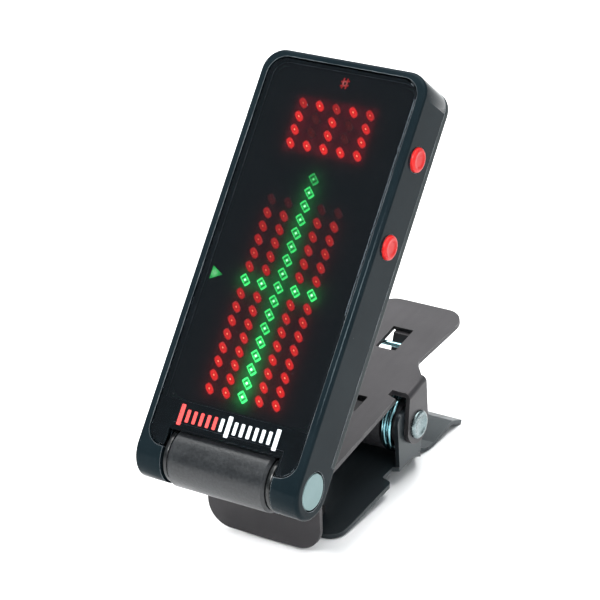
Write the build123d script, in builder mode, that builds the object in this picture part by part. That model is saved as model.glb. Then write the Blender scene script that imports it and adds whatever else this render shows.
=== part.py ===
"""Clip-on instrument tuner: a display head hinged on a sprung sheet-metal clip.

Frame: +X to the right along the hinge barrel, +Y to the back, +Z up. The origin is the centre of
the footprint, on the surface that the clip stands on. The display faces forward (-Y) and leans back.
All sizes are in millimetres.
"""
from build123d import *
import os
from math import atan, cos, radians, sin

os.makedirs("parts", exist_ok=True)

# ---- Driving dimensions: head hinge
HINGE_Y = -22.2            # hinge axis, from the footprint's centre
HINGE_Z = 13.5             # hinge axis above the surface
BARREL_R = 3.9
BARREL_HALF = 7.15
WASHER_R = 3.5
WASHER_THICK = 0.55
WASHER_GAP = 0.15          # between a washer and the barrel
BARREL_CHAMFER = 0.35
PIN_R = 1.1
CAP_R = 2.37
CAP_THICK = 0.8
CAP_CHAMFER = 0.12
RUNNING_GAP = 0.05         # radial play of a shaft in its bore
PRESS_GAP = 0.01           # radial play of a fixed pin
CAP_GAP = 0.14             # between a cap and its seat

# ---- Driving dimensions: head (x across, v up the face from the hinge axis, w out of the face)
HEAD_LEAN = 38.0           # degrees back from vertical
HEAD_HALF = 12.0
HEAD_TOP = 53.0
HEAD_HALF_THICK = 3.75     # also the radius of the ears' round ends
HEAD_CORNER_R = 3.0
HEAD_EDGE_R = 0.5
SEAM_W = -2.45             # joint between front shell and back cover
SEAM_GAP = 0.05
WALL = 1.0
EAR_INNER = 8.1            # inner faces of the ears
RECESS_R = 4.45            # clearance round the barrel
COVER_FOOT_V = 3.6         # lowest edge of the back cover
CAVITY_V = (6.0, 52.0)
FOOT_LEDGE = 0.4           # the ledge at the foot of the display, beyond the cavity
PANEL_HALF = 10.8
PANEL_V = (0.3, 51.95)
PANEL_THICK = 1.0
PANEL_GAP = 0.12
LEDGE_THICK = 0.6
LEDGE_WIDTH = 0.5
PANEL_TOP_R = 2.4
PANEL_FOOT_R = 2.2
PANEL_CHAMFER = 0.15
PAST = 80.0                # clears the whole object
CUT = 1.0                  # how far a cut runs past the surface it opens

# ---- Driving dimensions: electronics
BOARD_HALF = 10.2
BOARD_V = (6.6, 51.2)
BOARD_W = (1.35, 1.95)
BOARD_HOLES = [(-8.8, 49.8), (8.8, 49.8)]
BOARD_HOLE_GAP = 0.25
LED_COLUMN_PITCH = 2.45
LED_ROW_PITCH = 1.79
LED_FIRST_V = 8.67
LED_SIZE = (1.55, 0.88)    # small chip lights, set corner to corner in the grid
LED_TURN = -45.0
LED_HEIGHT = 0.5
MASK_W = (2.0, 2.65)
MASK_HOLE = (1.67, 1.0)
MASK_R = 2.2
IN_TUNE_ROW = 8
COLUMN_ROWS = 15
CENTRE_ROWS = 17
NOTE_FIRST_ROW = 18.24
NOTE_ROWS = 4
POINTER_X = -9.2
SHARP_V = 50.2
CELL_R = 10.0
CELL_THICK = 3.2
CELL_V = 18.4
CELL_W = -2.3
CELL_EDGE_R = 0.25
BUTTON_V = (31.3, 42.8)
BUTTON_W = 0.8
BUTTON_R = 1.6
BUTTON_PROUD = 0.5
BUTTON_GAP = 0.05

# ---- Driving dimensions: clip (y and z from the hinge axis)
SHEET = 0.6
BEND_R = 0.8               # outside radius of the folds to the ears
UPPER_SLOPE = 10.94        # degrees, the upper plate rises to the back
UPPER_TOP = -6.36          # top face of the upper plate, from the hinge axis, along its normal
LIP_Y = 6.7                # front face of the lip
LIP_BOTTOM = -13.05
LIP_HALF = 8.5
LIP_CORNER_R = 3.4
LIP_FOLD_R = 0.55
JAW_HALF = 7.0
UPPER_HANDLE_END = 48.0    # along the upper plate
PIN_Y = 31.62
PIN_Z = -5.97
CLIP_PIN_R = 1.25
RIVET_R = 1.95
EAR_OUTER = 8.35           # outer faces of the upper ears
EAR_R = 2.7
LOWER_EAR_OUTER = 7.65
LOWER_JAW_HALF = 8.4
GROUND = -HINGE_Z
SPOOL_R = 4.2
SPOOL_HALF = 4.75
COIL_OUTER_R = 4.35
WIRE_R = 0.35
COIL_TURNS = 2
COIL_PITCH = 1.1
COIL_START = 4.8
FOOT_HALF = 4.2

LEAN = radians(HEAD_LEAN)
HEAD_UP = Vector(0, sin(LEAN), cos(LEAN))
FACE_NORMAL = Vector(0, -cos(LEAN), sin(LEAN))
HINGE = Vector(0, HINGE_Y, HINGE_Z)
CLIP_PIN = Vector(0, HINGE_Y + PIN_Y, HINGE_Z + PIN_Z)
SLOPE = radians(UPPER_SLOPE)
PLATE_NORMAL = Vector(0, -sin(SLOPE), cos(SLOPE))


def face_plane(w=0.0):
    """Plane parallel to the display: local x is across, local y runs up from the hinge axis."""
    return Plane(origin=HINGE + FACE_NORMAL * w, x_dir=(1, 0, 0), z_dir=FACE_NORMAL)


def sheet_plane(t=0.0):
    """Plane parallel to the upper plate: local y runs back along the plate from the hinge."""
    return Plane(origin=HINGE + PLATE_NORMAL * t, x_dir=(1, 0, 0), z_dir=PLATE_NORMAL)


def side_plane(x=0.0, centre=HINGE):
    """Plane across the object at x: local x is back, local y is up, from the centre given."""
    return Plane(origin=centre + Vector(x, 0, 0), x_dir=(0, 1, 0), z_dir=(1, 0, 0))


def head_side_plane(x=0.0):
    """Plane across the head at x: local x runs up the face, local y out of its front."""
    return Plane(origin=HINGE + Vector(x, 0, 0), x_dir=HEAD_UP, z_dir=(1, 0, 0))


def save(part, name):
    """Label a finished piece and write it as a STEP file."""
    part.label = name
    export_step(part, f"parts/{name}.step")


def x_cylinder(radius, x0, x1, centre=HINGE):
    """A cylinder along X from x0 to x1, made on its own so that it can be added or cut."""
    with BuildPart() as rod:
        with BuildSketch(side_plane(x0, centre)):
            Circle(radius)
        extrude(amount=x1 - x0)
    return rod.part


def face_box(x, v, w):
    """A box in the head's own directions, from (low, high) pairs across, up and out."""
    with BuildPart() as block:
        with BuildSketch(face_plane(w[0])):
            with Locations(((x[0] + x[1]) / 2, (v[0] + v[1]) / 2)):
                Rectangle(x[1] - x[0], v[1] - v[0])
        extrude(amount=w[1] - w[0])
    return block.part


def led_places(columns, rows):
    """Centres of the lights at every given column and row."""
    return [(c * LED_COLUMN_PITCH, LED_FIRST_V + r * LED_ROW_PITCH) for c in columns for r in rows]


# ---- Head housing -----------------------------------------------------------------------------
def head_block():
    """The head's outer form: a slab with round top corners, round ear ends and round edges."""
    with BuildPart() as block:
        with BuildSketch(head_side_plane(-HEAD_HALF)):
            with Locations((HEAD_TOP / 2, 0)):
                Rectangle(HEAD_TOP, 2 * HEAD_HALF_THICK)
            Circle(HEAD_HALF_THICK)
        extrude(amount=2 * HEAD_HALF)
        through = Axis(HINGE, FACE_NORMAL)
        fillet(block.edges().filter_by(through).sort_by(Axis.Z)[-2:], HEAD_CORNER_R)
        hinge_line = block.edges().filter_by(Axis.X).filter_by(
            lambda e: abs((e.center() - HINGE).dot(HEAD_UP)) < 1e-3)
        fillet(block.edges() - block.edges().filter_by(through) - hinge_line, HEAD_EDGE_R)
    return block.part


def hinge_recess():
    """The space between the ears that the barrel turns in."""
    with BuildPart() as recess:
        with BuildSketch(side_plane(-EAR_INNER)):
            Circle(RECESS_R)
        extrude(amount=2 * EAR_INNER)
    return recess.part


def cover_zone(gap=0.0):
    """The part of the head's outer form that belongs to the back cover."""
    return face_box((-PAST, PAST), (COVER_FOOT_V + gap, PAST), (-PAST, SEAM_W - gap))


def panel_sketch(grow=0.0):
    """Outline of the display window: tight top corners, wide bottom corners."""
    low, high = PANEL_V
    with BuildSketch() as outline:
        with Locations((0, (low + high) / 2)):
            Rectangle(2 * (PANEL_HALF + grow), high - low + 2 * grow)
        fillet(outline.vertices().group_by(Axis.Y)[-1], PANEL_TOP_R + grow)
        fillet(outline.vertices().group_by(Axis.Y)[0], PANEL_FOOT_R + grow)
    return outline.sketch


inner = HEAD_HALF - WALL
face = HEAD_HALF_THICK
ledge_front = face - PANEL_THICK
ledge_back = ledge_front - LEDGE_THICK

with BuildPart() as head_shell:
    add(head_block())
    add(cover_zone(), mode=Mode.SUBTRACT)
    add(hinge_recess(), mode=Mode.SUBTRACT)
    add(face_box((-inner, inner), CAVITY_V, (-PAST, ledge_back)), mode=Mode.SUBTRACT)
    with BuildSketch(face_plane(ledge_front)):
        add(panel_sketch(PANEL_GAP))
    extrude(amount=PANEL_THICK + CUT, mode=Mode.SUBTRACT)
    with BuildSketch(face_plane(ledge_back - CUT)):
        add(panel_sketch(-LEDGE_WIDTH))
        Rectangle(PAST, 2 * (CAVITY_V[0] + FOOT_LEDGE), mode=Mode.SUBTRACT)
    extrude(amount=LEDGE_THICK + 2 * CUT, mode=Mode.SUBTRACT)
    add(x_cylinder(PIN_R + PRESS_GAP, -PAST, PAST), mode=Mode.SUBTRACT)
    for side in (-1, 1):
        cap_floor = side * (HEAD_HALF - CAP_THICK)
        cap_seat = x_cylinder(CAP_R + CAP_GAP, *sorted((cap_floor, side * (HEAD_HALF + CUT))))
        add(cap_seat, mode=Mode.SUBTRACT)
    for v in BUTTON_V:
        with BuildSketch(head_side_plane(inner - CUT)):
            with Locations((v, BUTTON_W)):
                Circle(BUTTON_R + BUTTON_GAP)
        extrude(amount=WALL + 2 * CUT, mode=Mode.SUBTRACT)
save(head_shell.part, "head_shell")

with BuildPart() as window_panel:
    with BuildSketch(face_plane(ledge_front)):
        add(panel_sketch())
    extrude(amount=PANEL_THICK)
    add(hinge_recess(), mode=Mode.SUBTRACT)
    front = window_panel.faces().sort_by(lambda f: (f.center() - HINGE).dot(FACE_NORMAL))[-1]
    chamfer(front.edges(), PANEL_CHAMFER)
save(window_panel.part, "window_panel")

DOOR_V = (7.6, 29.4)
DOOR_HALF = 10.4
DOOR_THICK = 0.9
DOOR_GAP = 0.06
DOOR_LEDGE = 0.6           # the door rests on this rim
DOOR_RIBS = 5              # finger grooves
RIB_PITCH = 0.8
RIB_FROM_TOP = 2.2
RIB_HALF = (3.2, 0.15)
RIB_DEPTH = 0.2
COVER_SCREWS = [(-9.0, 36.0), (9.0, 36.0), (-9.0, 49.4), (9.0, 49.4)]
SCREW_R = 0.9
SCREW_GAP = 0.05
SCREW_SUNK = 0.1
SCREW_LENGTH = 3.2
DRIVE_SLOT = (1.1, 0.22)
DRIVE_DEPTH = 0.3
back = -HEAD_HALF_THICK

with BuildPart() as back_cover:
    add(head_block())
    add(cover_zone(SEAM_GAP), mode=Mode.INTERSECT)
    add(hinge_recess(), mode=Mode.SUBTRACT)
    door = ((-DOOR_HALF, DOOR_HALF), DOOR_V)
    add(face_box(*door, (back - CUT, back + DOOR_THICK)), mode=Mode.SUBTRACT)
    open_half = DOOR_HALF - DOOR_LEDGE
    open_v = (DOOR_V[0] + DOOR_LEDGE, DOOR_V[1] - DOOR_LEDGE)
    add(face_box((-open_half, open_half), open_v, (back - CUT, 0)), mode=Mode.SUBTRACT)
    with BuildSketch(face_plane(back - CUT)):
        with Locations(*COVER_SCREWS):
            Circle(SCREW_R + SCREW_GAP)
    extrude(amount=CUT - back, mode=Mode.SUBTRACT)
save(back_cover.part, "back_cover")

with BuildPart() as battery_door:
    shape = ((-DOOR_HALF + DOOR_GAP, DOOR_HALF - DOOR_GAP), (DOOR_V[0] + DOOR_GAP, DOOR_V[1] - DOOR_GAP))
    add(face_box(*shape, (back, back + DOOR_THICK)))
    for i in range(DOOR_RIBS):
        rib_v = DOOR_V[1] - RIB_FROM_TOP - RIB_PITCH * i
        rib = ((-RIB_HALF[0], RIB_HALF[0]), (rib_v - RIB_HALF[1], rib_v + RIB_HALF[1]))
        add(face_box(*rib, (back - CUT, back + RIB_DEPTH)), mode=Mode.SUBTRACT)
save(battery_door.part, "battery_door")

with BuildPart() as cover_screws:
    with BuildSketch(face_plane(back + SCREW_SUNK)):
        with Locations(*COVER_SCREWS):
            Circle(SCREW_R)
    extrude(amount=SCREW_LENGTH)
    with BuildSketch(face_plane(back + SCREW_SUNK)):
        with Locations(*COVER_SCREWS):
            Rectangle(*DRIVE_SLOT)
            Rectangle(*reversed(DRIVE_SLOT))
    extrude(amount=DRIVE_DEPTH, mode=Mode.SUBTRACT)
save(cover_screws.part, "cover_screws")

# ---- Electronics ------------------------------------------------------------------------------
OUTER_COLUMNS = (-2, -1, 1, 2)
ALL_COLUMNS = (-2, -1, 0, 1, 2)
red_rows = [r for r in range(COLUMN_ROWS) if r != IN_TUNE_ROW]
green_places = led_places((0,), range(CENTRE_ROWS)) + led_places(OUTER_COLUMNS, (IN_TUNE_ROW,))
red_places = led_places(OUTER_COLUMNS, red_rows)
note_places = led_places(ALL_COLUMNS, [NOTE_FIRST_ROW + i for i in range(NOTE_ROWS)])
pointer_place = (POINTER_X, LED_FIRST_V + IN_TUNE_ROW * LED_ROW_PITCH)
sharp_place = (0, SHARP_V)

with BuildPart() as display_board:
    add(face_box((-BOARD_HALF, BOARD_HALF), BOARD_V, BOARD_W))
    with BuildSketch(face_plane(BOARD_W[0])):
        with Locations(*BOARD_HOLES):
            Circle(SCREW_R + BOARD_HOLE_GAP)
    extrude(amount=BOARD_W[1] - BOARD_W[0], mode=Mode.SUBTRACT)
save(display_board.part, "display_board")

with BuildPart() as light_mask:
    with BuildSketch(face_plane(MASK_W[0])):
        with Locations((0, (BOARD_V[0] + BOARD_V[1]) / 2)):
            RectangleRounded(2 * BOARD_HALF, BOARD_V[1] - BOARD_V[0], MASK_R)
        with Locations(*green_places, *red_places, *note_places, pointer_place, sharp_place):
            Rectangle(*MASK_HOLE, rotation=LED_TURN, mode=Mode.SUBTRACT)
    extrude(amount=MASK_W[1] - MASK_W[0])
save(light_mask.part, "light_mask")


def lights(places, name):
    """A set of identical surface-mounted lights on the board's front."""
    with BuildPart() as group:
        with BuildSketch(face_plane(BOARD_W[1])):
            with Locations(*places):
                Rectangle(*LED_SIZE, rotation=LED_TURN)
        extrude(amount=LED_HEIGHT)
    save(group.part, name)


lights(green_places, "green_leds")
lights(red_places, "red_leds")
lights(note_places, "note_leds")
lights([pointer_place], "pointer_led")
lights([sharp_place], "sharp_led")

BUTTON_STEM = 10.4         # inner end of a button's stem
FLANGE_X = (10.45, 10.95)
FLANGE_HALF = (2.2, 1.25)
STEM_HALF = (0.5, 0.4)
BUTTON_EDGE_R = 0.3


def button_block(x, v, half):
    """A box centred on a button's axis, from its half sizes up and out of the face."""
    return face_box(x, (v - half[0], v + half[0]), (BUTTON_W - half[1], BUTTON_W + half[1]))


for v, name in zip(BUTTON_V, ("button_lower", "button_upper")):
    with BuildPart() as button:
        with BuildSketch(head_side_plane(FLANGE_X[0])):
            with Locations((v, BUTTON_W)):
                Circle(BUTTON_R)
        extrude(amount=HEAD_HALF + BUTTON_PROUD - FLANGE_X[0])
        fillet(button.faces().sort_by(Axis.X)[-1].edges(), BUTTON_EDGE_R)
        add(button_block(FLANGE_X, v, FLANGE_HALF))
        add(button_block((BUTTON_STEM, FLANGE_X[0]), v, STEM_HALF))
    save(button.part, name)

SWITCH_X = (7.9, 10.1)
SWITCH_HALF = 1.8
SWITCH_BACK = 0.15
with BuildPart() as switches:
    for v in BUTTON_V:
        add(face_box(SWITCH_X, (v - SWITCH_HALF, v + SWITCH_HALF), (SWITCH_BACK, BOARD_W[0])))
save(switches.part, "switches")

with BuildPart() as coin_cell:
    with BuildSketch(face_plane(CELL_W)):
        with Locations((0, CELL_V)):
            Circle(CELL_R)
    extrude(amount=CELL_THICK)
    fillet(coin_cell.edges(), CELL_EDGE_R)
save(coin_cell.part, "coin_cell")

CONTACT_THICK = 0.25
CONTACT_GAP = 0.15         # between the cell's rim and its contact
CONTACT_HALF = 2.0
CONTACT_REACH = 2.2
CONTACT_BACK = -1.8
with BuildPart() as contact_positive:
    clip_v = CELL_V + CELL_R + CONTACT_GAP
    across = (-CONTACT_HALF, CONTACT_HALF)
    add(face_box(across, (clip_v, clip_v + CONTACT_THICK), (CONTACT_BACK, BOARD_W[0])))
    add(face_box(across, (clip_v, clip_v + CONTACT_REACH), (BOARD_W[0] - CONTACT_THICK, BOARD_W[0])))
save(contact_positive.part, "contact_positive")

PLATE_HALF = (3.0, 2.0)
PLATE_THICK = 0.2
TONGUE_HALF = (0.8, 1.6)
TONGUE_GAP = 0.02
with BuildPart() as contact_negative:
    tongue_back = CELL_W + CELL_THICK + TONGUE_GAP
    plate_back = BOARD_W[0] - PLATE_THICK
    layers = ((PLATE_HALF, (plate_back, BOARD_W[0])), (TONGUE_HALF, (tongue_back, plate_back)))
    for (half_x, half_v), w in layers:
        add(face_box((-half_x, half_x), (CELL_V - half_v, CELL_V + half_v), w))
save(contact_negative.part, "contact_negative")

CHIP_HALF = 2.5
CHIP_V = (34.5, 39.5)
CHIP_THICK = 0.8
with BuildPart() as processor:
    add(face_box((-CHIP_HALF, CHIP_HALF), CHIP_V, (BOARD_W[0] - CHIP_THICK, BOARD_W[0])))
save(processor.part, "processor")

PIEZO_PLACE = (-1.5, 42.0)
PIEZO_LAYERS = [5.0, 3.6]  # radii of the brass disc and of the ceramic on it
PIEZO_THICK = 0.2
with BuildPart() as piezo_disc:
    for layer, radius in enumerate(PIEZO_LAYERS):
        with BuildSketch(face_plane(SEAM_W + layer * PIEZO_THICK)):
            with Locations(PIEZO_PLACE):
                Circle(radius)
        extrude(amount=PIEZO_THICK)
save(piezo_disc.part, "piezo_disc")

# ---- Head hinge -------------------------------------------------------------------------------
with BuildPart() as hinge_pin:
    add(x_cylinder(PIN_R, -(HEAD_HALF - CAP_THICK), HEAD_HALF - CAP_THICK))
save(hinge_pin.part, "hinge_pin")

for side, name in ((-1, "hinge_cap_left"), (1, "hinge_cap_right")):
    with BuildPart() as cap:
        add(x_cylinder(CAP_R, *sorted((side * (HEAD_HALF - CAP_THICK), side * HEAD_HALF))))
        chamfer(cap.faces().sort_by(Axis.X)[-1 if side > 0 else 0].edges(), CAP_CHAMFER)
    save(cap.part, name)

with BuildPart() as friction_washers:
    for side in (-1, 1):
        near = side * (BARREL_HALF + WASHER_GAP)
        add(x_cylinder(WASHER_R, *sorted((near, near + side * WASHER_THICK))))
    add(x_cylinder(PIN_R + RUNNING_GAP, -HEAD_HALF, HEAD_HALF), mode=Mode.SUBTRACT)
save(friction_washers.part, "friction_washers")

FOOT_FRONT = 1.9           # along the plate, hidden under the barrel
FOOT_BACK = 11.0
FOOT_TOP = -4.15
NECK = 1.0                 # joins the foot to the barrel
NECK_TOP = -3.0
FOOT_RIVETS = [(-2.6, 8.6), (2.6, 8.6)]
FOOT_RIVET_R = 0.8
FOOT_R = 0.6
RIVET_GAP = 0.03
RIVET_SINK_R = 1.45        # counterbore for a rivet's head
RIVET_SINK = 0.6
RIVET_HEAD = (1.4, 0.5)    # radius and thickness of the upper head
RIVET_HEAD_SUNK = 0.1
RIVET_TAIL = (1.3, 0.35)   # the same of the formed end under the plate

with BuildPart() as hinge_barrel:
    add(x_cylinder(BARREL_R, -BARREL_HALF, BARREL_HALF))
    chamfer(hinge_barrel.edges().filter_by(GeomType.CIRCLE), BARREL_CHAMFER)
    with BuildSketch(sheet_plane(UPPER_TOP)):
        with Locations((0, (FOOT_FRONT + FOOT_BACK) / 2)):
            RectangleRounded(2 * FOOT_HALF, FOOT_BACK - FOOT_FRONT, FOOT_R)
    extrude(amount=FOOT_TOP - UPPER_TOP)
    with BuildSketch(sheet_plane(UPPER_TOP)):
        with Locations((0, FOOT_FRONT + NECK / 2)):
            Rectangle(2 * FOOT_HALF, NECK)
    extrude(amount=NECK_TOP - UPPER_TOP)
    add(x_cylinder(PIN_R + RUNNING_GAP, -PAST, PAST), mode=Mode.SUBTRACT)
    for radius, depth in ((RIVET_SINK_R, RIVET_SINK), (FOOT_RIVET_R + RIVET_GAP, PAST)):
        with BuildSketch(sheet_plane(FOOT_TOP)):
            with Locations(*FOOT_RIVETS):
                Circle(radius)
        extrude(amount=-depth, mode=Mode.SUBTRACT)
save(hinge_barrel.part, "hinge_barrel")

with BuildPart() as foot_rivets:
    head_top = FOOT_TOP - RIVET_HEAD_SUNK
    plate_under = UPPER_TOP - SHEET
    shank = (FOOT_RIVET_R, head_top - plate_under + RIVET_TAIL[1])
    for level, (radius, length) in ((head_top, RIVET_HEAD), (head_top, shank), (plate_under, RIVET_TAIL)):
        with BuildSketch(sheet_plane(level)):
            with Locations(*FOOT_RIVETS):
                Circle(radius)
        extrude(amount=-length)
save(foot_rivets.part, "foot_rivets")

# ---- Clip -------------------------------------------------------------------------------------
pin_s = PIN_Y * cos(SLOPE) + PIN_Z * sin(SLOPE)
pin_t = -PIN_Y * sin(SLOPE) + PIN_Z * cos(SLOPE)
lip_s = (LIP_Y + UPPER_TOP * sin(SLOPE)) / cos(SLOPE)   # where the lip's front face meets the plate


def mirrored_outline(points):
    """A closed outline through the right-hand points and their mirror images."""
    return points + [(-x, y) for x, y in reversed(points)]


EAR_FRONT = 29.0           # along the upper plate, the fold's two ends
EAR_BACK = 33.4
FOLD_X = EAR_OUTER - BEND_R
UPPER_OUTLINE = [
    (LIP_HALF, lip_s), (LIP_HALF, lip_s + 1.4), (JAW_HALF, lip_s + 4.2), (JAW_HALF, 27.4), (5.6, 27.9),
    (5.6, EAR_FRONT), (FOLD_X, EAR_FRONT), (FOLD_X, EAR_BACK), (5.65, 35.7), (6.5, 45.0),
    (6.5, UPPER_HANDLE_END)]
SHOULDER_R = 1.2           # corners of the jaw behind the lip
WAIST_R = 1.6
HANDLE_R = 2.8
WINDOW_S = (36.9, 41.9)
WINDOW_HALF = 1.55
SLOT_S = (23.1, 26.5)
SLOT_HALF = 3.35
TAB_DROP = 3.2
TAB_LEAN = 2.2
TAB_ROOT = 0.2             # how far the tab's root reaches behind the window
TAB_TIP = (0.5, 0.3)       # the cut end of the tab, back and down
TAB_GAP = 0.25             # beside the tab
EAR_BLANK = 10.0           # the ears' sheet before its outline is cut


def upper_ears():
    """The two ears of the upper plate with the folds that join them to it."""
    along = Vector(0, cos(SLOPE), sin(SLOPE))
    with BuildPart() as ears:
        with BuildSketch(Plane(origin=HINGE + along * EAR_FRONT, x_dir=(1, 0, 0), z_dir=-along)) as fold:
            with Locations((0, UPPER_TOP - EAR_BLANK / 2)):
                Rectangle(2 * EAR_OUTER, EAR_BLANK)
            fillet(fold.vertices().group_by(Axis.Y)[-1], BEND_R)
            with Locations((0, UPPER_TOP - SHEET - EAR_BLANK / 2)):
                Rectangle(2 * (EAR_OUTER - SHEET), EAR_BLANK, mode=Mode.SUBTRACT)
        extrude(amount=EAR_BLANK, both=True)
        with BuildSketch(Plane(origin=HINGE, x_dir=along, z_dir=(1, 0, 0))):
            with BuildLine():
                Polyline((pin_s - EAR_R, pin_t), (EAR_FRONT, UPPER_TOP), (EAR_BACK, UPPER_TOP),
                         (pin_s + EAR_R, pin_t))
                ThreePointArc((pin_s + EAR_R, pin_t), (pin_s, pin_t - EAR_R), (pin_s - EAR_R, pin_t))
            make_face()
        extrude(amount=EAR_OUTER, both=True, mode=Mode.INTERSECT)
    return ears.part


with BuildPart() as upper_plate:
    with BuildSketch(sheet_plane(UPPER_TOP - SHEET)) as outline:
        Polygon(*mirrored_outline(UPPER_OUTLINE), align=None)
        fillet(outline.vertices().filter_by_position(Axis.Y, lip_s + 1, lip_s + 5), SHOULDER_R)
        fillet(outline.vertices().filter_by_position(Axis.Y, 35, 36), WAIST_R)
        fillet(outline.vertices().group_by(Axis.Y)[-1], HANDLE_R)
        with Locations((0, (SLOT_S[0] + SLOT_S[1]) / 2)):
            Rectangle(2 * SLOT_HALF, SLOT_S[1] - SLOT_S[0], mode=Mode.SUBTRACT)
        with Locations((0, (WINDOW_S[0] + WINDOW_S[1]) / 2)):
            Rectangle(2 * WINDOW_HALF, WINDOW_S[1] - WINDOW_S[0], mode=Mode.SUBTRACT)
        with Locations((0, (FOOT_FRONT + lip_s + CUT) / 2)):
            Rectangle(2 * FOOT_HALF, lip_s - FOOT_FRONT + CUT)
        with Locations(*FOOT_RIVETS):
            Circle(FOOT_RIVET_R + RIVET_GAP, mode=Mode.SUBTRACT)
    extrude(amount=SHEET)
    with BuildSketch(Plane(origin=HINGE + Vector(0, LIP_Y, 0), x_dir=(1, 0, 0), z_dir=(0, -1, 0))) as lip:
        lip_top = (UPPER_TOP + LIP_Y * sin(SLOPE)) / cos(SLOPE)
        with Locations((0, (LIP_BOTTOM + lip_top) / 2)):
            Rectangle(2 * LIP_HALF, lip_top - LIP_BOTTOM)
        fillet(lip.vertices().group_by(Axis.Y)[0], LIP_CORNER_R)
    extrude(amount=-SHEET)
    fold_y, fold_z = HINGE_Y + LIP_Y, HINGE_Z + lip_top
    fillet(upper_plate.edges().filter_by(Axis.X).filter_by(
        lambda e: abs(e.center().Y - fold_y) + abs(e.center().Z - fold_z) < 0.01), LIP_FOLD_R)
    add(upper_ears())
    add(x_cylinder(CLIP_PIN_R + PRESS_GAP, -PAST, PAST, CLIP_PIN), mode=Mode.SUBTRACT)
    with BuildSketch(Plane(origin=HINGE, x_dir=(0, cos(SLOPE), sin(SLOPE)), z_dir=(1, 0, 0))):
        root, tip_s, tip_t = WINDOW_S[1], WINDOW_S[1] - TAB_LEAN, UPPER_TOP - TAB_DROP
        Polygon((root - SHEET, UPPER_TOP - SHEET), (tip_s, tip_t), (tip_s + TAB_TIP[0], tip_t - TAB_TIP[1]),
                (root + TAB_ROOT, UPPER_TOP - SHEET), align=None)
    extrude(amount=WINDOW_HALF - TAB_GAP, both=True)
save(upper_plate.part, "upper_plate")

# Underside of the lower plate: jaw, crest under the pin, handle bend, end of the handle
LOWER_JAW_FRONT = 10.9
LOWER_CREST = (31.5, -11.05)
LOWER_UNDERSIDE = [(LOWER_JAW_FRONT, GROUND), LOWER_CREST, (37.2, -13.35), (39.4, -13.4),
                   (44.4, -12.45), (47.1, GROUND)]
LOWER_OUTLINE = [
    (8.2, LOWER_JAW_FRONT), (LOWER_JAW_HALF, 14.0), (LOWER_JAW_HALF, 24.4), (6.75, 25.0),
    (6.75, 27.4), (LOWER_EAR_OUTER, 27.8), (LOWER_EAR_OUTER, 33.4), (5.7, 35.6), (6.2, 38.0),
    (6.2, 47.6)]
LOWER_BEND_R = 1.0
LOWER_FRONT_R = 2.2
STEP_R = 0.8
LOWER_EAR_R = 1.2
LOWER_EAR = [(27.9, -11.2), (27.5, -3.5), (33.0, -3.1), (34.3, -5.2), (33.4, -10.9)]
jaw_slope = (LOWER_CREST[1] - LOWER_UNDERSIDE[0][1]) / (LOWER_CREST[0] - LOWER_JAW_FRONT)


def jaw_top(y, above=0.0):
    """Height of the lower jaw's top face, or of a level above it, at y behind the hinge."""
    thickness = SHEET / cos(atan(jaw_slope))
    return LOWER_UNDERSIDE[0][1] + thickness + above + jaw_slope * (y - LOWER_JAW_FRONT)


with BuildPart() as lower_plate:
    with BuildSketch(side_plane()):
        with BuildLine():
            FilletPolyline(*LOWER_UNDERSIDE, radius=LOWER_BEND_R)
            offset(amount=SHEET, side=Side.LEFT)
        make_face()
    extrude(amount=LOWER_JAW_HALF, both=True)
    with BuildSketch(Plane(origin=(0, HINGE_Y, -1))) as plan:
        Polygon(*mirrored_outline(LOWER_OUTLINE), align=None)
        fillet(plan.vertices().group_by(Axis.Y)[0], LOWER_FRONT_R)
        fillet(plan.vertices().filter_by_position(Axis.Y, 24.2, 24.6), STEP_R)
        fillet(plan.vertices().filter_by_position(Axis.Y, 35, 36), SHOULDER_R)
    extrude(amount=PAST, mode=Mode.INTERSECT)
    for side in (-1, 1):
        x0 = min(side * LOWER_EAR_OUTER, side * (LOWER_EAR_OUTER - SHEET))
        with BuildSketch(side_plane(x0)) as ear:
            Polygon(*LOWER_EAR, align=None)
            fillet(ear.vertices().group_by(Axis.Y)[-1] + ear.vertices().group_by(Axis.Y)[-2], LOWER_EAR_R)
        extrude(amount=SHEET)
    add(x_cylinder(CLIP_PIN_R + RUNNING_GAP, -PAST, PAST, CLIP_PIN), mode=Mode.SUBTRACT)
save(lower_plate.part, "lower_plate")

PAD_TIP_HALF = 4.0
PAD_STRIP_HALF = 5.4
PAD_STRIP_THICK = 1.4
PAD_TIP_BACK = 14.0
PAD_STRIP_BACK = 26.0
LOWER_PAD_THICK = 1.0
LOWER_PAD_Y = (11.2, 15.2)
PAD_GAP = 0.03
PAD_FROM_LIP = 1.0
PAD_OVERLAP = 0.7          # how far the tip block reaches into the strip
TAIL_POCKET = (1.35, 0.4)  # radius and depth of the room for a rivet's formed end
under = UPPER_TOP - SHEET
lip_back = LIP_Y + SHEET

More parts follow.
